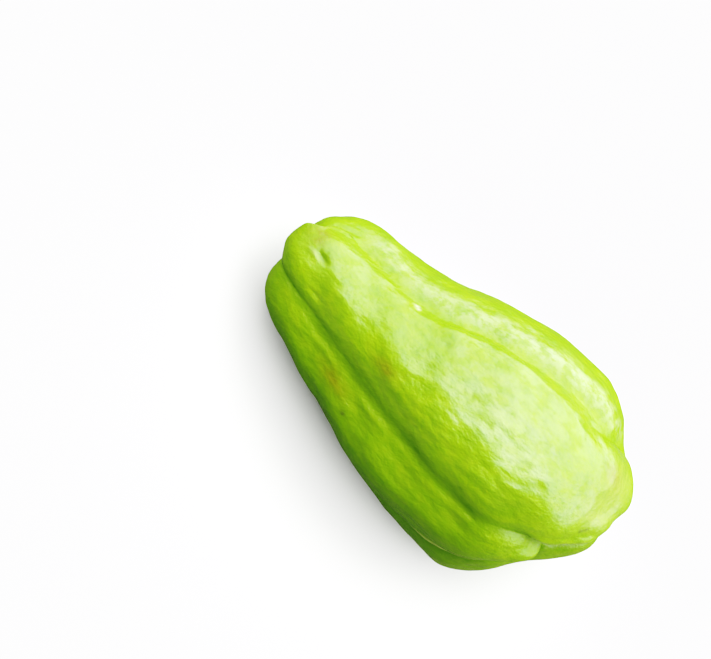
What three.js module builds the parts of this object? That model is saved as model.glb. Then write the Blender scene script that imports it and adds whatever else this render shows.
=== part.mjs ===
// A chayote squash, as picked, lying on its side: one pear-shaped fruit with five lobes.
// Millimetres, +Z up, stem end towards -X and blossom end towards +X. The origin is on the
// surface that the fruit lies on, under the middle of its bounding box.
import * as THREE from "three";

// Driving dimensions. Until the fruit is laid down its core is level: places along the core are
// counted from the stem end, and angles round it in degrees from straight up, towards +Y.
const LENGTH = 140;
const THICKNESS = 0.92; // the section's height over its width: the fruit is a little flattened

// The pear's outline as [place along the core, radius], before anything is pressed into it.
const OUTLINE = [
  [0, 0],
  [0, 4],
  [0.2, 8.5],
  [1.4, 13.4],
  [5, 18.2],
  [12, 22.2],
  [24, 25.1],
  [38, 28.4],
  [52, 32.5],
  [66, 37],
  [80, 40],
  [94, 40.9],
  [107, 39.7],
  [117, 34.8],
  [125, 27.3],
  [132, 20],
  [137.5, 13.4],
  [140, 7],
  [LENGTH, 0],
].map(([place, radius]) => new THREE.Vector2(place, radius));

// The core's gentle bend: how far it lies towards +Y, at even steps from the stem end on.
const BEND = [2.2, 0.3, -1.7, -0.7, -0.4, 3.8];

// The places along the core where the values below are given.
const STATIONS = [0, 16, 40, 70, 98, 118, 127, 131, LENGTH];

// The furrows run from the stem end to the blossom end. At each station: the angle of a furrow's
// line, the depth of the wide hollow round it, the depth of the sharp crease in it, and the
// swell of the lobe between it and the next furrow.
const FURROWS = [
  {
    angle: [-25, -24, -27, -29, -33, -33, -45, -51, -50],
    hollow: [1.8, 1.8, 3, 3.6, 3.2, 2.4, 2, 1.6, 2],
    crease: [1.6, 0.8, 0.2, 0.2, 0.1, 1, 3.6, 5, 6],
    swell: [0, 1, 1, 1.4, 1.6, 1.6, 1.4, 0.6, 0],
  },
  {
    angle: [48, 50, 39, 45, 44, 47, 72, 86, 98],
    hollow: [1.4, 2.2, 1.8, 1.6, 2.2, 2.2, 1.2, 0.8, 0],
    crease: [1.6, 1, 0, 0, 0, 0.4, 1.4, 0.8, 0],
    swell: [-2.2, 1, 0, 0, 0.2, 0.4, -0.8, 0, 0],
  },
  {
    angle: [122, 122, 120, 118, 118, 120, 122, 123, 128],
    hollow: [1.6, 2.4, 2, 2, 2.2, 2.8, 3, 3.2, 3],
    crease: [1, 1.2, 0.5, 0.4, 0.6, 1.6, 4, 4.8, 6],
    swell: [-2, 0, 0, 0, 2, 1.6, 1.6, 1.3, 0],
  },
  {
    angle: [196, 196, 198, 200, 200, 202, 204, 205, 208],
    hollow: [1.6, 2.4, 2.6, 3.6, 3.6, 2.6, 1.8, 1.4, 0],
    crease: [1, 1.2, 0.5, 0.4, 0.5, 1, 0.8, 0.5, 0],
    swell: [-2, 0, 0, 0.4, 2.8, 2.2, 0, -0.2, 0],
  },
  {
    angle: [266, 266, 270, 275, 282, 292, 291, 307, 309],
    hollow: [2.4, 3, 2, 1.8, 2, 2.4, 3, 2.6, 0],
    crease: [1, 1.2, 0.6, 0.6, 0.8, 1.4, 3, 3.4, 0],
    swell: [-2.2, -0.4, 0, 0, 0, 1.2, 1.4, -0.6, 0],
  },
];
const CREASE_WIDTH = 1.6;
const HOLLOW_WIDTH = 0.62; // of the local radius
const LEAST_HOLLOW_WIDTH = 8;
const HOLLOW_ROUNDING = 2.2; // at the bottom of the hollow
const UNEVENNESS = 0.45;

// Small marks in the skin of the lobe that faces up: dents, and a bump with a negative depth.
const DENTS = [
  { place: 12, angle: 12, depth: 0.9, length: 7, width: 2.6 },
  { place: 3, angle: 36, depth: -2, length: 5, width: 4 },
  { place: 135, angle: 12, depth: 1.6, length: 8, width: 4 },
];

// The scar that the stem leaves stands up a little from the bottom of its hollow.
const SCAR_RADIUS = 3;
const SCAR_DEPTH = 3.4;

// Skin beyond these places on the core is pressed in towards them, and between them straight in.
const CAP_CENTRES = [26, 98];

// How the fruit lies: rolled about its core onto the two lobes beside its lowest furrow, then
// tipped stem end down until its weight is over them, and a little flat where they touch.
const ROLL = 17;
const TIP = -12;
const REST_FLAT = 0.5;

// The skin's mesh. A lobe's columns are closer together beside its furrows.
const COLUMNS_PER_LOBE = 18;
const ROWS = 62;
const COLUMNS = COLUMNS_PER_LOBE * FURROWS.length;
const COLUMN_EASING = 0.6;

const outlineCurve = new THREE.SplineCurve(OUTLINE);
const coreCurve = new THREE.SplineCurve(
  BEND.map((sideways, step) => new THREE.Vector2((step * LENGTH) / (BEND.length - 1), sideways)),
);
const { clamp, degToRad, euclideanModulo, lerp, smoothstep } = THREE.MathUtils;

// A value given at the stations, at any place: a smooth curve that passes through each of them.
function along(values, place) {
  let k = 0;
  while (k < STATIONS.length - 2 && place > STATIONS[k + 1]) k++;
  const slope = (n) => {
    const [before, after] = [Math.max(n - 1, 0), Math.min(n + 1, STATIONS.length - 1)];
    return (values[after] - values[before]) / (STATIONS[after] - STATIONS[before]);
  };
  const span = STATIONS[k + 1] - STATIONS[k];
  const share = clamp((place - STATIONS[k]) / span, 0, 1);
  const blend = share * share * (3 - 2 * share);
  const start = slope(k) * span * share * (1 - share) ** 2;
  const end = slope(k + 1) * span * share ** 2 * (share - 1);
  return lerp(values[k], values[k + 1], blend) + start + end;
}

// Distance round the core from a furrow's line, which ends at the poles.
function distanceTo(furrow, place, angle, radius) {
  const line = degToRad(along(furrow.angle, place));
  const turn = Math.abs(euclideanModulo(angle - line + Math.PI, 2 * Math.PI) - Math.PI);
  return turn < Math.PI / 2 ? radius * Math.sin(turn) : radius;
}

// How much nearer than that a furrow's line is, where it slants round the fruit.
function slantOf(furrow, place, radius) {
  const slant = degToRad(along(furrow.angle, place + 1) - along(furrow.angle, place - 1)) / 2;
  return Math.hypot(1, radius * slant);
}

// How deep the furrows press the skin in.
function furrowDepth(place, angle, radius) {
  const width = Math.max(HOLLOW_WIDTH * radius, LEAST_HOLLOW_WIDTH);
  let hollows = 0;
  let crease = 0;
  for (const furrow of FURROWS) {
    const distance = distanceTo(furrow, place, angle, radius);
    const rounded = Math.hypot(distance, HOLLOW_ROUNDING) - HOLLOW_ROUNDING;
    hollows += along(furrow.hollow, place) * Math.max(1 - rounded / width, 0) ** 2;
    const nearest = distance / slantOf(furrow, place, radius);
    crease = Math.max(crease, along(furrow.crease, place) * Math.exp(-nearest / CREASE_WIDTH));
  }
  return hollows + crease;
}

// Dents and unevenness fade out over this radius, towards the poles.
const FADE_RADIUS = 16;

function dentDepth(place, angle, radius) {
  let depth = 0;
  for (const dent of DENTS) {
    const turn = angle - degToRad(dent.angle);
    const lengthwise = (place - dent.place) / dent.length;
    const across = (radius * Math.sin(turn)) / dent.width;
    if (Math.cos(turn) > 0) depth += dent.depth * Math.exp(-(lengthwise ** 2) - across ** 2);
  }
  return depth * Math.min(radius / FADE_RADIUS, 1);
}

// Broad, slight undulations of the whole skin.
function unevenness(place, angle, radius) {
  const wave = (lengthwise, around, phase) =>
    Math.sin((2 * Math.PI * place) / lengthwise + around * angle + phase);
  const broad = wave(90, 1, 0.4) * wave(71, -3, 2);
  const middling = wave(37, 4, 1.1) * wave(53, 2, 0);
  const small = 0.6 * wave(45, 7, 5) * wave(60, 4, 3);
  return UNEVENNESS * (broad + middling + small) * Math.min(radius / FADE_RADIUS, 1);
}

// The angle of a column at a place along the core, and how far across its lobe it lies.
function columnAt(column, place) {
  const lobe = Math.floor(column / COLUMNS_PER_LOBE) % FURROWS.length;
  const share = (column % COLUMNS_PER_LOBE) / COLUMNS_PER_LOBE;
  const across = lerp(share, (1 - Math.cos(Math.PI * share)) / 2, COLUMN_EASING);
  const next = (lobe + 1) % FURROWS.length;
  const start = along(FURROWS[lobe].angle, place);
  const end = along(FURROWS[next].angle, place) + (next === 0 ? 360 : 0);
  return { lobe, across, angle: degToRad(lerp(start, end, across)) };
}

// The skin's point in one row and column of the mesh.
function skin(row, column) {
  const { x: place, y: radius } = outlineCurve.getPoint(row / ROWS);
  const { lobe, across, angle } = columnAt(column, place);
  const swell = along(FURROWS[lobe].swell, place) * 4 * across * (1 - across);
  const pressed = furrowDepth(place, angle, radius) + dentDepth(place, angle, radius);
  const unscarred = pressed - swell - unevenness(place, angle, radius);
  const scar = place < SCAR_RADIUS ? 1 - smoothstep(radius, SCAR_RADIUS, 1.4 * SCAR_RADIUS) : 0;
  const depth = lerp(unscarred, SCAR_DEPTH, scar);
  const inward = new THREE.Vector2(clamp(place, ...CAP_CENTRES) - place, -radius).normalize();
  const reach = Math.max(radius + inward.y * depth, 0);
  const sideways = coreCurve.getPoint(clamp(place / LENGTH, 0, 1)).y;
  return new THREE.Vector3(
    place + inward.x * depth,
    sideways + reach * Math.sin(angle),
    reach * Math.cos(angle) * THICKNESS,
  );
}

function chayote() {
  const geometry = new THREE.SphereGeometry(1, COLUMNS, ROWS);
  const position = geometry.attributes.position;
  const lie = new THREE.Euler(degToRad(ROLL), degToRad(TIP), 0, "YXZ");
  for (let i = 0; i < position.count; i++) {
    const column = (i % (COLUMNS + 1)) % COLUMNS;
    const row = Math.floor(i / (COLUMNS + 1));
    const p = skin(row, column).applyEuler(lie);
    position.setXYZ(i, p.x, p.y, p.z);
  }
  geometry.computeBoundingBox();
  const { min, max } = geometry.boundingBox;
  geometry.translate(-(min.x + max.x) / 2, -(min.y + max.y) / 2, -min.z - REST_FLAT);
  for (let i = 0; i < position.count; i++) {
    position.setZ(i, Math.max(position.getZ(i), 0));
  }
  return geometry;
}

const waxySkin = new THREE.MeshStandardMaterial({ color: 0x9cc63a, roughness: 0.4, metalness: 0 });
const fruit = new THREE.Mesh(chayote(), waxySkin);
fruit.name = "chayote";
const root = new THREE.Group();
root.add(fruit);
export default root;
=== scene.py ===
# %% [markdown]
# # A chayote squash
# A chayote is a pear-shaped fruit with five lobes, a waxy yellow-green skin and a puckered cleft
# at its blossom end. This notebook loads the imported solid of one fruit, makes a finely shaped
# skin over it, gives the skin a procedural finish, and lights it on a plain pale floor.

# %% Load the frame
from math import radians

import bpy
import numpy as np
from mathutils import Matrix, Vector, noise


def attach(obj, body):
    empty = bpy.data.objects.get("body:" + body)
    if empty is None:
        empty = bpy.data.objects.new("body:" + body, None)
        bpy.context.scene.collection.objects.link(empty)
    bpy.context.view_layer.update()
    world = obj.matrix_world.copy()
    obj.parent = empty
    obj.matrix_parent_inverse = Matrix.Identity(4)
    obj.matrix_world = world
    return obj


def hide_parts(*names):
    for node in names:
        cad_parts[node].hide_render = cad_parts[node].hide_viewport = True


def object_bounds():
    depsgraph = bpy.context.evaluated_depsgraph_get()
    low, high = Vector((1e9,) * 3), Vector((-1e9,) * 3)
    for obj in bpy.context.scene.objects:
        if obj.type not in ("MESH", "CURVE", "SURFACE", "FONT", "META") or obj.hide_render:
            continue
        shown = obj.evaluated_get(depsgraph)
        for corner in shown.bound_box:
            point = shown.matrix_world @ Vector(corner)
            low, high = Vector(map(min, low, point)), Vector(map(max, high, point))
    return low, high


MM = 0.001  # Blender counts in metres

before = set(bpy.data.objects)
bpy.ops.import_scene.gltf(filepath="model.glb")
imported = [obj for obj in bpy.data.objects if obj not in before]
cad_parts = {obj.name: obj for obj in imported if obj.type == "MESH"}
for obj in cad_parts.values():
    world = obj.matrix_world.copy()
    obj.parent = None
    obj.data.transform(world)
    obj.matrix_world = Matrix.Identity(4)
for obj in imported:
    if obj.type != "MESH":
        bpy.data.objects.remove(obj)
cad_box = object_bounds()
print("the solid's box in mm:", [round(side / MM, 1) for side in cad_box[1] - cad_box[0]])

# %% [markdown]
# ## How the fruit lies
# The fruit was drawn with its core level and then rolled about it and tipped, until it lay on its
# own lobes. Its skin could be worked in plain x, y and z, but everything on it is easier to place
# in the fruit's own terms. So the same two turns are written here: they carry a point of the level
# fruit to where it lies.

# %% The fruit's own frame
ROLL = radians(17)
TIP = radians(-12)
CORE_START = Vector((-67.94, 0.73, 17.44)) * MM  # where the stem end of the core lies

lie = Matrix.Translation(CORE_START) @ Matrix.Rotation(TIP, 4, "Y") @ Matrix.Rotation(ROLL, 4, "X")
lengthwise, sideways, upwards = (lie.to_3x3().col[k] for k in range(3))
print("the core points along", [round(part, 3) for part in lengthwise])

# %% [markdown]
# ## The camera
# The camera looks down on the fruit along the fruit's own upward direction, turned so that the
# stem end is at the upper left. It could be aimed by hand. Here it is set by four lengths: how far
# away it is, how wide the picture is there, and how far the fruit's middle is from the middle of
# the picture. Working the lens out from them keeps the framing when the distance changes.

# %% Camera
CAMERA_TURN = radians(42)
CAMERA_DISTANCE = 620 * MM
PICTURE_WIDTH = 230.4 * MM
FRUIT_MIDDLE = 73.9 * MM  # its place along the core
MIDDLE_RIGHT = 30.6 * MM  # how far it lies to the right of the picture's middle
MIDDLE_DOWN = 22.7 * MM

middle = lie @ Vector((FRUIT_MIDDLE, 0, 0))
turn = Matrix.Rotation(CAMERA_TURN, 3, "Z")
right = lie.to_3x3() @ turn @ Vector((1, 0, 0))
up = lie.to_3x3() @ turn @ Vector((0, 1, 0))

bpy.ops.object.camera_add(location=middle + CAMERA_DISTANCE * upwards)
camera = bpy.context.object
aim = middle - MIDDLE_RIGHT * right + MIDDLE_DOWN * up
# A camera looks along its own -Z, so its Z axis points back from what it is aimed at.
backwards = (camera.location - aim).normalized()
rightwards = up.cross(backwards).normalized()
axes = Matrix((rightwards, backwards.cross(rightwards), backwards)).transposed()
camera.rotation_euler = axes.to_euler()
camera.data.lens = camera.data.sensor_width * CAMERA_DISTANCE / PICTURE_WIDTH
bpy.context.scene.camera = camera
print("lens in mm:", round(camera.data.lens, 1))

# %% [markdown]
# ## The body
# The real fruit is one grown body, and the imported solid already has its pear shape, its lobes and
# its furrows. A sphere could be shaped into it once more, but it would drift from the solid. So
# the skin starts as a copy of the solid, which itself is left alone.

# %% Copy the solid
bpy.ops.object.select_all(action="DESELECT")
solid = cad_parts["chayote"]
skin = solid.copy()
skin.data = solid.data.copy()
skin.name = "chayote_skin"
skin.parent = None
# What the frame notes on the solid isn't true of its copy.
for key in list(skin.keys()):
    del skin[key]
bpy.context.scene.collection.objects.link(skin)
bpy.context.view_layer.objects.active = skin
skin.select_set(True)
print("copied:", len(skin.data.polygons), "triangles")

# %% [markdown]
# ## One closed sheet
# The solid is made of loose triangles. A remesh would join them, but it would also blur the sharp
# creases. Merging the points that lie on each other gives one closed sheet that keeps every
# crease, and pairing its triangles gives quads, which round off more evenly.

# %% Merge and pair
MERGE_DISTANCE = 1e-6
ANY_ANGLE = radians(180)

bpy.ops.object.mode_set(mode="EDIT")
bpy.ops.mesh.select_all(action="SELECT")
bpy.ops.mesh.remove_doubles(threshold=MERGE_DISTANCE)
bpy.ops.mesh.tris_convert_to_quads(face_threshold=ANY_ANGLE, shape_threshold=ANY_ANGLE)
bpy.ops.object.mode_set(mode="OBJECT")
print("merged:", len(skin.data.vertices), "points,", len(skin.data.polygons), "faces")

# %% [markdown]
# ## A rounded skin
# Living skin has no facets, and the relief to come needs points less than a millimetre apart.
# Smooth shading alone would hide the facets but add no points. A Subdivision Surface does both,
# and it hardly moves the sheet. It is applied at once, because the relief is worked out for each
# of the points that it makes.

# %% Round off
SUBDIVISIONS = 2

subdivide = skin.modifiers.new("round off", "SUBSURF")
subdivide.levels = subdivide.render_levels = SUBDIVISIONS
bpy.ops.object.modifier_apply(modifier=subdivide.name)
bpy.ops.object.shade_smooth()
print("rounded off:", len(skin.data.vertices), "points,", len(skin.data.polygons), "faces")

# %% [markdown]
# ## Places on the fruit
# Ripples, valleys and markings follow the fruit's core, which bends a little. They could be
# painted on by hand, but then none of them could be moved by changing a number. So every point of
# the skin is told in the fruit's terms: its place along the core, its angle round it from
# straight up, and its distance from it.

# %% Place, angle and radius of every point
CORE_LENGTH = 140
CORE_BEND = [2.2, 0.3, -1.7, -0.7, -0.4, 3.8]  # sideways in mm, at even steps along the core
THICKNESS = 0.92  # the section's height over its width


def points_of(piece):
    """All points of a piece, one a row, in metres."""
    flat = np.empty(3 * len(piece.data.vertices), np.float32)
    piece.data.vertices.foreach_get("co", flat)
    return flat.reshape(-1, 3).astype(float)


level = (points_of(skin) - np.array(CORE_START)) @ np.array(lie.to_3x3()) / MM
place = np.clip(level[:, 0], 0, CORE_LENGTH)
bend = np.interp(place, np.linspace(0, CORE_LENGTH, len(CORE_BEND)), CORE_BEND)
angle = np.degrees(np.arctan2(level[:, 1] - bend, level[:, 2] / THICKNESS))
radius = np.hypot(level[:, 1] - bend, level[:, 2] / THICKNESS)
print("places from", place.min().round(1), "to", place.max().round(1), "mm")
print("widest radius", radius.max().round(1), "mm")

# %% [markdown]
# ## The furrows' lines
# Five furrows run from the stem end to the blossom end and part the lobes. Their lines could be
# searched for in the mesh, but they are known: these are the angles that the solid was drawn with.
# The distance from such a line places what lies in a furrow or beside it.

# %% Distances from the furrows
# The angle of each furrow's line, in degrees, at stations along the core. The long furrow and the
# wide one lie on either side of the top lobe, and the near one lies further round than the long.
STATIONS = [0, 16, 40, 70, 98, 118, 127, 131, CORE_LENGTH]
FURROW_ANGLES = {
    "long": [-25, -24, -27, -29, -33, -33, -45, -51, -50],
    "wide": [48, 50, 39, 45, 44, 47, 72, 86, 98],
    "far": [122, 122, 120, 118, 118, 120, 122, 123, 128],
    "under": [196, 196, 198, 200, 200, 202, 204, 205, 208],
    "near": [266, 266, 270, 275, 282, 292, 291, 307, 309],
}


def along(places, values):
    """For each point, values that are given at some places along the core."""
    return np.interp(place, places, values)


def turn_from(degrees):
    """The turn round the core from an angle, or from one angle a point, between -180 and 180."""
    return (angle - degrees + 180) % 360 - 180


def distance_to(furrow):
    """How far each point is from a furrow's line, in mm: negative before it, positive past it."""
    return radius * np.radians(turn_from(along(STATIONS, FURROW_ANGLES[furrow])))


from_long = distance_to("long")
from_wide = distance_to("wide")
from_near = distance_to("near")
print("points within 2 mm of the long furrow:", int((np.abs(from_long) < 2).sum()))

# %% [markdown]
# ## Soft shapes
# Nothing on a fruit starts or stops abruptly. Sculpting would give such forms too, but not twice
# the same. So the relief is a sum of heights, one for every point, made from four soft shapes: a
# step along any measure, a band that rises and falls again, a ridge along a line, and a spot.

# %% Steps, bands, ridges and spots
def step(values, start, end, low=0, high=1):
    """Low up to the start, high from the end on, and smooth between them, in either direction."""
    share = np.clip((values - start) / (end - start), 0, 1)
    return low + (high - low) * (share * share * (3 - 2 * share))


def band(values, start, full, fading, end):
    """Rises from 0 to 1 between the first two values, and falls again between the last two."""
    return step(values, start, full) * step(values, end, fading)


def ridge(distance, width, height=1, offset=0):
    """A soft ridge along a line, or beside it by an offset. A negative height makes a groove."""
    return height * np.exp(-(((distance - offset) / width) ** 2))


def spot(at_place, at_angle, length, width, slant=0):
    """A soft spot, with its size along and round the fruit in mm. Slanted, it leans round it."""
    across = radius * np.radians(turn_from(at_angle)) - slant * (place - at_place)
    return ridge(place, length, offset=at_place) * ridge(across, width)


print("a step from 2 to 4, at 1, 3 and 5:", step(np.array([1, 3, 5]), 2, 4))

# %% [markdown]
# ## Ripples
# A chayote's skin is never smooth: slight ripples run along it, finer and finer. They could be
# sculpted, but there are hundreds. Noise that is stretched along the fruit gives the same uneven,
# fibrous growth, and four sizes of it are added up. They are weaker on the neck and at the
# blossom end.

# %% Stretched noise, and the ripples
# Each size of ripple has its length, width and height in mm.
RIPPLES = [(30, 9, 0.5), (12, 4.5, 0.3), (6, 2.4, 0.2), (6, 1.6, 0.1)]
NECK_SHARE = 0.6
BLOSSOM_SHARE = 0.35
SEED_SHIFT = 17  # how far apart the seeds look into the noise


def noise_at(lengthwise_size, around_size, seed):
    """Noise for each point, stretched along the fruit: its sizes are in mm."""
    scaled = level / (lengthwise_size, around_size, around_size) + SEED_SHIFT * seed
    return np.array([noise.noise(point) for point in scaled])


relief = sum(
    height * noise_at(length, width, seed)
    for seed, (length, width, height) in enumerate(RIPPLES, start=1)
)
relief *= step(place, 10, 45, low=NECK_SHARE)
relief *= step(place, 108, 126, low=1, high=BLOSSOM_SHARE)
print("ripples from", relief.min().round(2), "to", relief.max().round(2), "mm")

# %% [markdown]
# ## The valley
# The wide furrow between the two upper lobes has a narrow valley along its bottom, which wanders
# a little to either side of the solid's line. A curve pressed into the mesh could make it. A
# groove along an offset line is simpler, and its line is easy to correct.

# %% The valley
# How far the valley lies past the solid's furrow line, at places along the core, in mm.
VALLEY_PLACES = [36, 56, 70, 78, 88, 108, 116, 126]
VALLEY_OFFSETS = [0, -2.5, -1.2, -1.2, 1, 2.8, 3.2, 1]
VALLEY_REACH = (30, 56, 108, 124)  # where along the core it starts, is full, fades and ends
VALLEY_WIDTH = 3.4
VALLEY_DEPTH = 1.8

valley = from_wide - along(VALLEY_PLACES, VALLEY_OFFSETS)
relief += ridge(valley, VALLEY_WIDTH, -VALLEY_DEPTH) * band(place, *VALLEY_REACH)
print("points in the valley:", int((np.abs(valley) < VALLEY_WIDTH).sum()))

# %% [markdown]
# ## The bank
# The long furrow lies at the foot of a bank. The skin climbs from it onto the top lobe, steeply at
# first and then in one long slope. On its other side the skin is lower, and a bumpy ridge follows
# it. The two sides could be pulled apart by proportional editing. Soft steps across the furrow do
# it evenly along its whole length, and keep the furrow's own line.

# %% The bank beside the long furrow
# Steps across the long furrow: where each starts and where it ends, in mm past the furrow.
LONG_SLOPE = (-4, 8.5)
STEEP_FOOT = (-2.8, 0.8)
BANK_BACK = (28, 10)
LOW_SIDE = (-18, -7)
STEEP_SHARE = 0.3  # of the climb
BANK_HEIGHT = 1.1
LOW_SIDE_DEPTH = 1.3
BANK_REACH = (14, 30, 98, 114)
BUMPS_MEAN = 0.6
BUMPS_STRENGTH = 1.6

long_slope = step(from_long, *LONG_SLOPE)
steep_foot = step(from_long, *STEEP_FOOT)
climb = (1 - STEEP_SHARE) * long_slope + STEEP_SHARE * steep_foot
bank = BANK_HEIGHT * climb * step(from_long, *BANK_BACK)
bank -= LOW_SIDE_DEPTH * (1 - climb) * step(from_long, *LOW_SIDE)
bumps = BUMPS_MEAN + BUMPS_STRENGTH * noise_at(7, 30, seed=4)
bank += bumps * ridge(from_long, width=1.6, height=0.35, offset=-4.2)
relief += bank * band(place, *BANK_REACH)
print("the bank from", bank.min().round(2), "to", bank.max().round(2), "mm")

# %% [markdown]
# ## The swelling
# Halfway up the bank the skin is drawn together into a lumpy, finely wrinkled swelling. A bump in
# the material could draw the wrinkles, but from the side the bank would still look flat. So both
# are real relief: a ridge along an offset line, broken up by the same noise as the bumpy ridge,
# with finer noise over it.

# %% The swelling along the bank
# How far the swelling lies past the long furrow, at places along the core, in mm.
SWELLING_PLACES = [50, 65, 80, 95]
SWELLING_OFFSETS = [10.5, 10.3, 11.5, 12.8]
SWELLING_REACH = (46, 58, 94, 106)
WRINKLES_REACH = (46, 60, 100, 116)

swelling = from_long - along(SWELLING_PLACES, SWELLING_OFFSETS)
relief += bumps * ridge(swelling, width=2, height=0.4) * band(place, *SWELLING_REACH)
wrinkled = ridge(swelling, width=4.5, height=0.35, offset=2) * band(place, *WRINKLES_REACH)
relief += wrinkled * noise_at(7, 1.5, seed=5)
print("broad relief from", relief.min().round(2), "to", relief.max().round(2), "mm")

# %% [markdown]
# ## Folds at the stem end
# At the stem end the top lobe laps over its neighbour with a crisp edge. Further along it has a
# short pleat with a groove beside it, and a nick. They could be cut by hand, point by point. Made
# from ridges and slanted spots they fade out softly at their ends, as a fold in a grown skin does.

# %% The lapping edge, the pleat and the nick
LAP_PLACES = [3, 7, 9.7, 14, 18]
LAP_ANGLES = [36, 39, 51, 53, 55]
LAP_REACH = (1, 4, 15, 22)
FOLD_SLANT = -0.22
PLEAT_AT = (11.5, 11.3)
GROOVE_AT = (14.6, 12.7)
# Each fold's height, then its place, angle, length, width and slant. The last two go inwards.
FOLDS = [
    (0.6, 12, 12, 7, 2.6, 0),
    (0.4, *PLEAT_AT, 2.4, 1, FOLD_SLANT),
    (-0.9, *GROOVE_AT, 2.4, 0.9, FOLD_SLANT),
    (-0.6, 21.2, -11.4, 2.6, 0.9, 0),
]

lap = radius * np.radians(turn_from(along(LAP_PLACES, LAP_ANGLES)))
edge = ridge(lap, width=1, height=0.45, offset=-0.9)
edge += ridge(lap, width=1.2, height=-0.6, offset=1)
edge += ridge(from_wide, width=1.6, height=0.8) * step(place, 6, 10)
relief += edge * band(place, *LAP_REACH)
for height, *where in FOLDS:
    relief += height * spot(*where)
print("the lapping edge from", edge.min().round(2), "to", edge.max().round(2), "mm")

# %% [markdown]
# ## The blossom end
# At the blossom end the top lobe's rounded lip stands out over the cleft. The lobe between the
# long and the near furrow swells to a blunt end beside that lip, and has a thin rim along its
# lower edge. A finer solid could carry them, but it would be heavy all over for a few narrow
# forms, so ridges along the two furrows add them here. A few small dimples lie on the top.

# %% The lip, the rim, the blunt end and the dimples
LIP_PLACES = [120, 126, 130]
LIP_OFFSETS = [1.7, 3, 5]
LIP_REACH = (118, 126, 135, 139)
RIM_REACH = (88, 98, 112, 120)
BLUNT_END_HEIGHT = 2.2
POLE_RADII = (2, 12)  # within these the relief fades out, towards the ends of the core
# The place and angle of each dimple.
DIMPLES = [(114.1, 25.6), (97, 12), (104, 33), (121, 8), (88, 3), (62, 21), (74, 58)]
DIMPLE_SIZE = 1
DIMPLE_DEPTH = 0.3

lip = from_long - along(LIP_PLACES, LIP_OFFSETS)
relief += ridge(lip, width=2.2, height=1.4) * band(place, *LIP_REACH)
relief += ridge(from_near, width=1.2, height=0.4, offset=2.2) * band(place, *RIM_REACH)
blunt_end = ridge(place, width=7, offset=125) * ridge(from_near, width=5, offset=4)
blunt_end *= step(from_long, -2, -6)
relief += BLUNT_END_HEIGHT * blunt_end
for dimple in DIMPLES:
    relief -= DIMPLE_DEPTH * spot(*dimple, DIMPLE_SIZE, DIMPLE_SIZE)
relief *= step(radius, *POLE_RADII)
print("all relief from", relief.min().round(2), "to", relief.max().round(2), "mm")

# %% [markdown]
# ## Room to move
# The skin must not grow past the solid's box, and it must not sink through the floor it lies on.
# Cutting off what sticks out would leave flat patches. So each point's height is held back to
# the room that is left along its normal.

# %% Room inside the box
MARGIN = 0.05  # kept free inside the box, in mm
ALMOST_NOTHING = 1e-6  # stands in for the part of a normal that doesn't lead to a wall


def room_of(piece, box):
    """How far each point can move along its normal before it leaves a box, in mm."""
    points = points_of(piece)
    normals = np.array([vertex.normal for vertex in piece.data.vertices])
    wall = np.where(normals > 0, np.array(box[1]), np.array(box[0]))
    towards_wall = np.where(np.abs(normals) < ALMOST_NOTHING, ALMOST_NOTHING, normals)
    return np.abs((wall - points) / towards_wall).min(axis=1) / MM - MARGIN


fitting = np.minimum(relief, room_of(skin, cad_box))
print("points held back:", int((fitting < relief).sum()))

# %% [markdown]
# ## Pressing the relief in
# The heights could move the points straight from code. Displace modifiers do the same where it can
# be seen, and their strength can be tried out before they are applied. They read their heights
# from vertex groups. A group's shares are never negative, so one group goes out and one goes in.

# %% Displace the skin
SHARE_DIGITS = 3


def press(piece, heights):
    """Moves each point along its normal by its height in mm."""
    reach = float(np.abs(heights).max())
    for sign, side in ((1, "out"), (-1, "in")):
        group = piece.vertex_groups.new(name=side)
        shares = np.round(np.clip(sign * heights / reach, 0, 1), SHARE_DIGITS)
        for share in np.unique(shares[shares > 0]):
            group.add(np.flatnonzero(shares == share).tolist(), float(share), "REPLACE")
        move = piece.modifiers.new(side, "DISPLACE")
        move.strength = sign * reach * MM
        move.mid_level = 0
        move.vertex_group = group.name
    for move in list(piece.modifiers):
        bpy.ops.object.modifier_apply(modifier=move.name)


press(skin, fitting)
lowest = points_of(skin)[:, 2].min() / MM
print("the skin's lowest point is", round(float(lowest), 3), "mm above the floor")

# %% [markdown]
# ## What the finish reads
# The finish has to know where it is on the fruit. A picture wrapped round the skin could tell it,
# but that needs unwrapping and leaves seams. So each measure is stored on the skin's points, as
# an attribute. The first one is a grain: the fruit's own coordinates in long, narrow units, so
# that any pattern made on them is drawn out along the fruit.

# %% Keeping a measure, and the grain
GRAIN_UNITS = (60, 38, 38)  # along the fruit and twice across it, in mm


def keep(piece, name, values):
    """Stores a number or a vector for each point, where the finish can read it."""
    kind, field = ("FLOAT", "value") if values.ndim == 1 else ("FLOAT_VECTOR", "vector")
    attribute = piece.data.attributes.new(name, kind, "POINT")
    attribute.data.foreach_set(field, values.ravel().astype(np.float32))
    print("kept", name, "from", values.min().round(2), "to", values.max().round(2))


keep(skin, "grain", level / GRAIN_UNITS)

# %% [markdown]
# ## Furrows and painted shade
# The skin is a deeper green in the furrows, partly its own colour and partly painted shade, and
# on the flank away from the light, where the deeper green is painted shade. An Ambient Occlusion
# node could find the furrows, but it treats every hollow alike. The distances are known, so they
# say how deep the green is: deepest in the long furrow and in the groove beside the pleat, and
# faint in the wide furrow.

# %% Furrows and shade
FURROW_WIDTH = 3.2
ANY_FURROW = 0.6  # how deep the green is in any furrow, where it is 1 in the long one
SHADE_MIDDLE = -108  # the angle of the shaded flank
SHADE_FADE = (85, 32)  # degrees from its middle: where the shade starts, and where it is full

# The furrows' deeper green is partly their own colour and partly painted shade.
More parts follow.
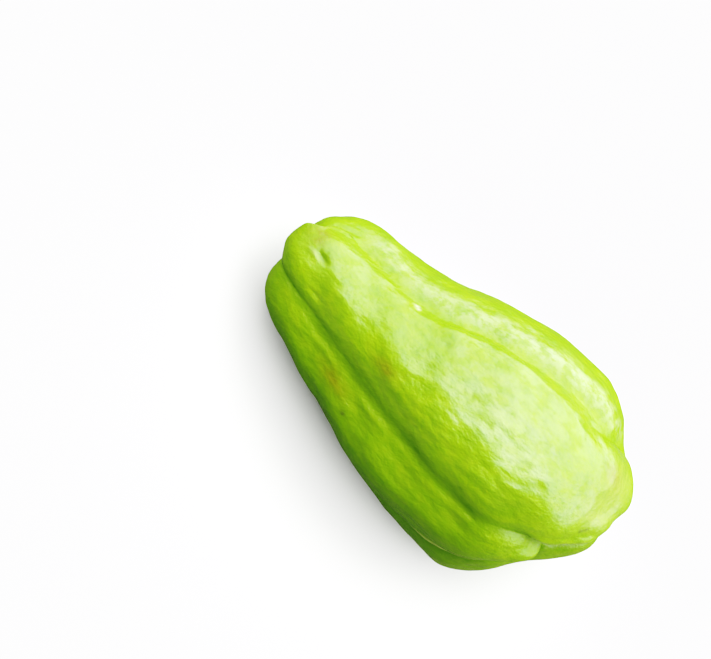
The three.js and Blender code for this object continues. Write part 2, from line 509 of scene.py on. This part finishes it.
furrow_green_and_shade = np.max([ridge(distance_to(furrow), FURROW_WIDTH) for furrow in FURROW_ANGLES], axis=0)
furrow_green_and_shade *= ANY_FURROW - ridge(from_wide, width=9, height=0.5)
# Painted shade along the long furrow, in the groove beside the pleat and in a hollow near it.
long_furrow_shade = ridge(from_long, width=3, offset=0.3)
groove_shade = spot(*GROOVE_AT, 2.4, 1, FOLD_SLANT)
painted_hollow_shade = 0.5 * spot(13.5, 17, 4, 2.6)
keep(skin, "furrow", np.max([furrow_green_and_shade, long_furrow_shade, groove_shade, painted_hollow_shade], axis=0))

# Painted shade on the flank that faces away from the light.
painted_shade_flank = step(np.abs(turn_from(SHADE_MIDDLE)), *SHADE_FADE)
painted_shade_flank *= step(place, 112, 128, low=1, high=0.5)
# Painted shade: a deeper patch on the bank, just before the lip.
painted_shade_before_lip = ridge(place, width=9, height=0.5, offset=108) * ridge(from_long, width=6, offset=9)
keep(skin, "shade", painted_shade_flank + painted_shade_before_lip)

# %% [markdown]
# ## Wax, painted sheen and straw
# The wax is thick on the lobes that face up, and thin in the valley, at both ends and underneath.
# Beside the valley, whitish threads are painted into the green as sheen, where the wax's highlight
# lies. The blossom end has a tint of straw. Each could be brushed on with weight paint, but bands
# and ridges can be read and corrected as numbers.

# %% Wax, painted sheen and straw
TOPSIDE_ANGLES = (-34, -8, 56, 80)
STRAW_ANGLES = (-25, 0, 40, 70)
LEAST_WAX = 0.15

ends = step(place, 6, 20, low=0.3) * step(place, 124, 134, low=1, high=0.7)
ends *= 1 - ridge(place, width=13, height=0.5, offset=46) * step(from_wide, -2, -9)
wax = LEAST_WAX + (1 - LEAST_WAX) * band(angle, *TOPSIDE_ANGLES) * ends
wax *= 1 - ridge(valley, width=3.8, height=0.8)
keep(skin, "wax", wax)

# Painted sheen: whitish threads beside the valley, where the wax's highlight lies.
bloom = step(place, 14, 28, high=0.65) + step(place, 56, 72, high=0.35)
bloom *= ridge(valley, width=4.2, offset=6) * step(place, 126, 118)
keep(skin, "bloom", bloom)
keep(skin, "straw", ridge(place, width=6, offset=132) * band(angle, *STRAW_ANGLES))

# %% [markdown]
# ## Marks
# Every fruit has a few marks of its own: olive tinges where the skin is older, dark specks and a
# pale scab where it was knocked, and the corky scar that the stem leaves. Noise could scatter
# them, but then they would lie anywhere. A short list of spots puts each in its place.

# %% Tinges, specks, scabs and the scar
# Each spot has its place, angle, length and width.
TINGES = [
    (8.4, 31, 3.4, 3.2),
    (9.5, 24, 2.4, 2),
    (42, -43, 7, 3.2),
    (53.5, -8, 5, 2.5),
    (128, 34, 4, 3),
]
SPECKS = [
    (51.5, -50.8, 0.8, 0.8),
    (127.3, -43, 0.6, 0.6),
    (131.7, -17, 0.6, 0.6),
    (132.7, -14, 0.5, 0.5),
]
SCABS = [(46.6, 33.4, 0.8, 0.8), (47.4, 31.6, 0.7, 0.7)]
SCAR_RADII = (4.5, 2)
SCAR_LIMIT = 20  # keeps the scar off the core's other end


def strongest(spots):
    """At each point, the strongest of several spots."""
    return np.max([spot(*each) for each in spots], axis=0)


keep(skin, "tinge", strongest(TINGES))
keep(skin, "scar", step(radius, *SCAR_RADII) * (place < SCAR_LIMIT))
keep(skin, "speck", strongest(SPECKS))
keep(skin, "scab", strongest(SCABS))

# %% [markdown]
# ## Painted highlights on the rims
# Where the skin stands out in a thin edge it catches the light, so a paler green is painted along
# it as a highlight: on the lip over the cleft, along the near furrow, on the pleat and on the
# lapping edge. The Geometry node's Pointiness could find edges, but it depends on how dense the
# mesh is. The lines that raised them are used again.

# %% Painted highlights on the rims
# Each thin edge gets a painted highlight: a paler green along it.
on_lip = ridge(lip, width=0.9, height=0.7) * band(place, 119, 125, 135, 139)
on_near = ridge(from_near, width=0.8, height=1.4, offset=2.7) * band(place, 84, 98, 116, 124)
on_pleat = 0.9 * spot(*PLEAT_AT, 2.2, 0.8, FOLD_SLANT)
on_lap = ridge(lap, width=0.5, height=0.7, offset=-0.7) * band(place, 2, 5, 13, 18)
keep(skin, "rim", on_lip + on_near + on_pleat + on_lap)

# %% [markdown]
# ## Nodes as plain sums
# A finish is a web of nodes. It could be drawn in the Shader Editor, but written as sums it is
# easier to read and to change. `Value` wraps one output of a node, so that it can be added, taken
# away and multiplied, and each sum adds its own Math node.

# %% A value from a node
class Value:
    """A number or colour from a node, that can be added, taken away and multiplied."""

    def __init__(self, finish, socket):
        self.finish = finish
        self.socket = socket

    def math(self, operation, first, second):
        """Adds the Math node of one sum."""
        return self.finish.node("ShaderNodeMath", {"operation": operation}, {0: first, 1: second})

    def __add__(self, other):
        return self.math("ADD", self, other)

    def __sub__(self, other):
        return self.math("SUBTRACT", self, other)

    def __rsub__(self, other):
        return self.math("SUBTRACT", other, self)

    def __mul__(self, other):
        return self.math("MULTIPLY", self, other)

    __radd__ = __add__
    __rmul__ = __mul__


print("a Value can be used with +, - and *")

# %% [markdown]
# ## Any other node
# Every node could be made with a few lines of its own, but they would hide what the finish is.
# `Finish` holds the nodes of one material, or of the sky, and its `node` adds any node in one
# call: its kind, its settings, and what goes into its sockets. The settings come first, because
# some of them change which sockets are in use. The other methods name the nodes needed often.

# %% A finish and its nodes
# The numbers of a Mix node's sockets, when it mixes colours.
MIX_FACTOR = 0
MIX_FIRST = 6
MIX_SECOND = 7
MIX_RESULT = 2


class Finish:
    """The nodes of a material or a world."""

    def __init__(self, owner):
        owner.use_nodes = True
        self.owner = owner
        self.tree = owner.node_tree
        self.tree.nodes.clear()

    def node(self, kind, settings=None, sockets=None, output=0):
        """Adds a node: first its settings, then the values or links of its sockets."""
        node = self.tree.nodes.new(kind)
        for name, setting in (settings or {}).items():
            if name == "stops":
                self.set_stops(node.color_ramp, setting)
            else:
                setattr(node, name, setting)
        for name, value in (sockets or {}).items():
            if isinstance(value, Value):
                self.tree.links.new(value.socket, node.inputs[name])
            else:
                node.inputs[name].default_value = value
        return Value(self, node.outputs[output])

    def set_stops(self, ramp, stops):
        """Gives a colour ramp its stops. A new ramp already has two."""
        for position, _ in stops[len(ramp.elements):]:
            ramp.elements.new(position)
        for element, (position, colour) in zip(ramp.elements, stops):
            element.position = position
            element.color = colour

    def attribute(self, name, output="Fac"):
        """A measure that is kept on the piece's points."""
        return self.node("ShaderNodeAttribute", {"attribute_name": name}, output=output)

    def noise(self, where, scale, detail, roughness):
        """Noise from 0 to 1, mostly near its middle."""
        sockets = {"Vector": where, "Scale": scale, "Detail": detail, "Roughness": roughness}
        return self.node("ShaderNodeTexNoise", {}, sockets)

    def blend(self, factor, first, second):
        """A mix of two colours."""
        sockets = {MIX_FACTOR: factor, MIX_FIRST: first, MIX_SECOND: second}
        return self.node("ShaderNodeMix", {"data_type": "RGBA"}, sockets, MIX_RESULT)

    def ramp(self, value, *stops):
        """A colour for a value, from stops that each have a position and a colour."""
        return self.node("ShaderNodeValToRGB", {"stops": stops}, {"Fac": value})

    def steps(self, value, start, end, low=0.0, high=1.0):
        """A number that rises smoothly from low to high while the value goes from start to end."""
        sockets = {"Value": value, "From Min": start, "From Max": end}
        sockets |= {"To Min": low, "To Max": high}
        return self.node("ShaderNodeMapRange", {"interpolation_type": "SMOOTHSTEP"}, sockets)

    def end(self, kind, shell):
        """Ends the nodes with their shader."""
        self.tree.links.new(shell.socket, self.tree.nodes.new(kind).inputs["Surface"])

    def coat(self, piece, shell):
        """Ends the finish with its shader and gives it to a piece."""
        self.end("ShaderNodeOutputMaterial", shell)
        piece.data.materials.clear()
        piece.data.materials.append(self.owner)
        print(self.owner.name, "has", len(self.tree.nodes), "nodes")


skin_finish = Finish(bpy.data.materials.new("waxy_skin"))
print("an empty finish:", skin_finish.owner.name)

# %% [markdown]
# ## The green
# The skin's green is finely mottled along the grain. One flat green would look like plastic, and a
# noise's own colours would be gaudy, so noise along the grain only picks between three greens that
# are close to each other. The furrows and the flank away from the light are then blended towards
# deeper greens as painted shade, which in the furrows is partly their own deeper colour.

# %% The skin's greens
# A colour is red, green and blue as amounts of light, and the last number makes it opaque.
DEEP_GREEN = (0.195, 0.38, 0.004, 1)
MIDDLE_GREEN = (0.23, 0.42, 0.005, 1)
YELLOW_GREEN = (0.265, 0.45, 0.008, 1)
# Deeper greens: in the furrows partly their own colour and partly painted shade, and on the flank
# away from the light painted shade.
FURROW_SHADE_GREEN = (0.135, 0.265, 0.006, 1)
SHADE_GREEN = (0.082, 0.175, 0.004, 1)
FURROW_STRENGTH = 0.8
SHADE_STRENGTH = 0.7

grain = skin_finish.attribute("grain", "Vector")
mottle = skin_finish.noise(grain, scale=10, detail=4, roughness=0.6)
colour = skin_finish.ramp(mottle, (0.3, DEEP_GREEN), (0.5, MIDDLE_GREEN), (0.7, YELLOW_GREEN))
# Painted shade, which in the furrows is partly the skin's own deeper green.
furrow = skin_finish.attribute("furrow") * FURROW_STRENGTH
shade = skin_finish.attribute("shade") * SHADE_STRENGTH
colour = skin_finish.blend(furrow, colour, FURROW_SHADE_GREEN)
colour = skin_finish.blend(shade, colour, SHADE_GREEN)
print("nodes in the greens:", len(skin_finish.tree.nodes))

# %% [markdown]
# ## Tints and marks
# Over the green lie the tinges, threads of painted sheen, the straw of the blossom end, the marks
# and the painted highlights on the rims. Each could be a material of its own, but on a real skin
# they fade into the green. So each is one more blend, weighted by the measure that places it.
# Noise breaks the tinges into patches and the sheen into threads.

# %% The skin's tints and marks
OLIVE = (0.21, 0.205, 0.005, 1)
# A whitish green painted as sheen.
SHEEN_WHITE = (0.6, 0.68, 0.4, 1)
STRAW = (0.46, 0.55, 0.14, 1)
CORK_BROWN = (0.16, 0.11, 0.03, 1)
SPECK_BROWN = (0.07, 0.07, 0.02, 1)
SCAB_CREAM = (0.85, 0.76, 0.62, 1)
# A paler green painted on the rims as their highlight.
RIM_HIGHLIGHT_GREEN = (0.5, 0.56, 0.22, 1)

patchy = skin_finish.noise(grain, scale=13, detail=5, roughness=0.6)
patches = skin_finish.steps(patchy, 0.3, 0.62, low=0.45)
thready = skin_finish.noise(grain, scale=14, detail=5, roughness=0.6)
threads = skin_finish.steps(thready, 0.4, 0.62)
# Each tint: the measure that places it, how strong it is at most, and its colour.
# The sheen threads and the pale rims are painted highlights; the other tints are the skin's own
# colours.
tints = [
    (skin_finish.attribute("tinge") * patches, 0.75, OLIVE),
    (skin_finish.attribute("bloom") * threads, 0.42, SHEEN_WHITE),
    (skin_finish.attribute("straw"), 0.35, STRAW),
    (skin_finish.attribute("scar"), 1.0, CORK_BROWN),
    (skin_finish.attribute("speck"), 0.75, SPECK_BROWN),
    (skin_finish.attribute("scab"), 0.9, SCAB_CREAM),
    (skin_finish.attribute("rim"), 0.5, RIM_HIGHLIGHT_GREEN),
]
for measure, strength, tint in tints:
    colour = skin_finish.blend(measure * strength, colour, tint)
print("tints over the green:", len(tints))

# %% [markdown]
# ## The wax
# A thin wax lies over the green, and streaks run through it along the grain. It could be a second
# skin just above the first, but a shell that thin would cut through it. The shader's own coat is
# just such a layer: it is stronger where there is more wax, and two sizes of noise streak it.

# %% Streaks in the wax
BROAD_SHARE = 0.7

broad_streaks = skin_finish.noise(grain, scale=9, detail=6, roughness=0.62)
fine_streaks = skin_finish.noise(grain, scale=34, detail=3, roughness=0.6)
streaks = broad_streaks * BROAD_SHARE + fine_streaks * (1 - BROAD_SHARE)
shine = skin_finish.steps(streaks, 0.38, 0.6, low=0.25)
coating = shine * skin_finish.attribute("wax")
print("nodes so far:", len(skin_finish.tree.nodes))

# %% [markdown]
# ## The gloss
# The skin shines softly, because fine ridges break up its reflections. Roughness alone would blur
# them evenly, and modelled ridges would need far more points, so they are a bump. A little of the
# light goes into the skin and comes out beside where it went in, as it does in any moist flesh.

# %% The skin's shader
RIDGES_HEIGHT = 0.42 * MM

ridges = skin_finish.noise(grain, scale=26, detail=4, roughness=0.55)
bump_sockets = {"Height": ridges, "Distance": RIDGES_HEIGHT, "Strength": 1.0}
bumpy = skin_finish.node("ShaderNodeBump", {}, bump_sockets)
shell = skin_finish.node("ShaderNodeBsdfPrincipled", {}, {
    "Base Color": colour,
    "Roughness": 0.24,
    "Specular IOR Level": 0.5,
    "Coat Weight": coating,
    "Coat Roughness": 0.16,
    "Coat IOR": 1.7,
    "Normal": bumpy,
    "Subsurface Weight": 0.15,
    "Subsurface Radius": (0.5, 1, 0.1),
    "Subsurface Scale": 4 * MM,
})
skin_finish.coat(skin, shell)

# %% [markdown]
# ## Into the frame
# The fruit is one piece on one body: its skin rides on the root, and stands in for the solid.
# Leaving the solid in view as well would let the two surfaces show through each other.

# %% Hand over to the frame
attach(skin, "root")
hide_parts("chayote")
print("handed over:", skin.name)

# %% [markdown]
# ## The floor
# The floor is one sheet that looks like pale paper. White paper would fill the shaded flank with
# its own pale reflection, so only the camera sees it pale: to the fruit it is a darker, greenish
# sheet, as if more fruit lay around it. The Light Path node tells the two apart. The sheet is wide
# on the side of the light, and on the other side it ends just outside the picture.

# %% Floor
FLOOR_SIZE = 2
FLOOR_EDGE = 0.17  # how far it reaches on the side away from the light
PAPER_WHITE = (0.86, 0.86, 0.85, 1)
PAPER_TO_THE_FRUIT = (0.2, 0.26, 0.1, 1)

bpy.ops.object.select_all(action="DESELECT")
middle_of_floor = (0, FLOOR_SIZE / 2 - FLOOR_EDGE, 0)
bpy.ops.mesh.primitive_plane_add(size=FLOOR_SIZE, location=middle_of_floor)
floor = bpy.context.object
floor.name = "floor"
paper = Finish(bpy.data.materials.new("pale_paper"))
floor_in_view = paper.node("ShaderNodeLightPath", output="Is Camera Ray")
paper_shell = paper.node("ShaderNodeBsdfPrincipled", {}, {
    "Base Color": paper.blend(floor_in_view, PAPER_TO_THE_FRUIT, PAPER_WHITE),
    "Roughness": 0.9,
    "Specular IOR Level": 0.1,
})
paper.coat(floor, paper_shell)

# %% [markdown]
# ## The light
# The light is a wall of soft white that fills the sky on one side of the fruit, from overhead to
# the horizon. Area lamps could give it, but each would show as a patch in the wax. So the sky
# itself shines. To say how brightly, each of its directions is compared with the fruit's own: the
# Dot Product of two directions tells how far one points along the other.

# %% Directions of the sky
LIGHT_LEAN = 0.25  # towards the blossom end

studio = Finish(bpy.data.worlds.new("studio"))
bpy.context.scene.world = studio.owner
looking = studio.node("ShaderNodeTexCoord", output="Generated")


def share_of(direction):
    """How far a direction of the sky points along a direction of the fruit, from -1 to 1."""
    sockets = {0: looking, 1: direction}
    return studio.node("ShaderNodeVectorMath", {"operation": "DOT_PRODUCT"}, sockets, "Value")


towards_light = (sideways + LIGHT_LEAN * lengthwise).normalized()
print("the light comes from", [round(part, 2) for part in towards_light])

# %% [markdown]
# ## The sky's brightness
# The wall of light ends softly just past the top of the fruit, so one flank shines and the other
# is in soft shade, with a faint fill from all round. It is weaker near the horizon and towards
# the stem end, and a little weaker towards the blossom end. Past the floor's edge the camera
# would see it as a glare, so for the camera alone there is a plain pale backdrop.

# %% The studio sky
LIGHT_STRENGTH = 2.75
# How far a direction points towards the light, where the wall starts and where it is full.
LIGHT_EDGE = (-0.13, 0.07)
HORIZON_DIMMING = 0.4
FILL_STRENGTH = 0.1
BACKDROP = 0.95

wall = studio.steps(share_of(towards_light), *LIGHT_EDGE)
wall = wall * (1 - HORIZON_DIMMING * share_of(sideways))
towards_stem = studio.steps(share_of(lengthwise), -1.0, 0.0, low=0.2)
towards_blossom = studio.steps(share_of(lengthwise), 0.3, 1.0, low=1.0, high=0.5)
glow = LIGHT_STRENGTH * towards_stem * towards_blossom
sky_in_view = studio.node("ShaderNodeLightPath", output="Is Camera Ray")
strength = sky_in_view * BACKDROP + (1 - sky_in_view) * (wall * glow + FILL_STRENGTH)
sky_sockets = {"Color": (1, 1, 1, 1), "Strength": strength}
studio.end("ShaderNodeOutputWorld", studio.node("ShaderNodeBackground", {}, sky_sockets))
print("the sky has", len(studio.tree.nodes), "nodes")

# %% [markdown]
# ## The picture's tone
# The picture is bright and vivid, as fruit is usually shown. A stronger light would make it bright
# too, but it would burn out the wax. So a curve lifts the middle tones, holds the brightest ones
# just under white, and keeps the darkest ones deep.

# %% Picture
TONE = [
    (0.03, 0.02),
    (0.09, 0.15),
    (0.18, 0.36),
    (0.3, 0.56),
    (0.45, 0.75),
    (0.64, 0.89),
    (0.85, 1),
]
ALL_COLOURS = 3  # the curve that bends red, green and blue together

view = bpy.context.scene.view_settings
view.view_transform = "Standard"
view.use_curve_mapping = True
for light, shown in TONE:
    view.curve_mapping.curves[ALL_COLOURS].points.new(light, shown)
view.curve_mapping.update()
print("points on the tone curve:", len(view.curve_mapping.curves[ALL_COLOURS].points))
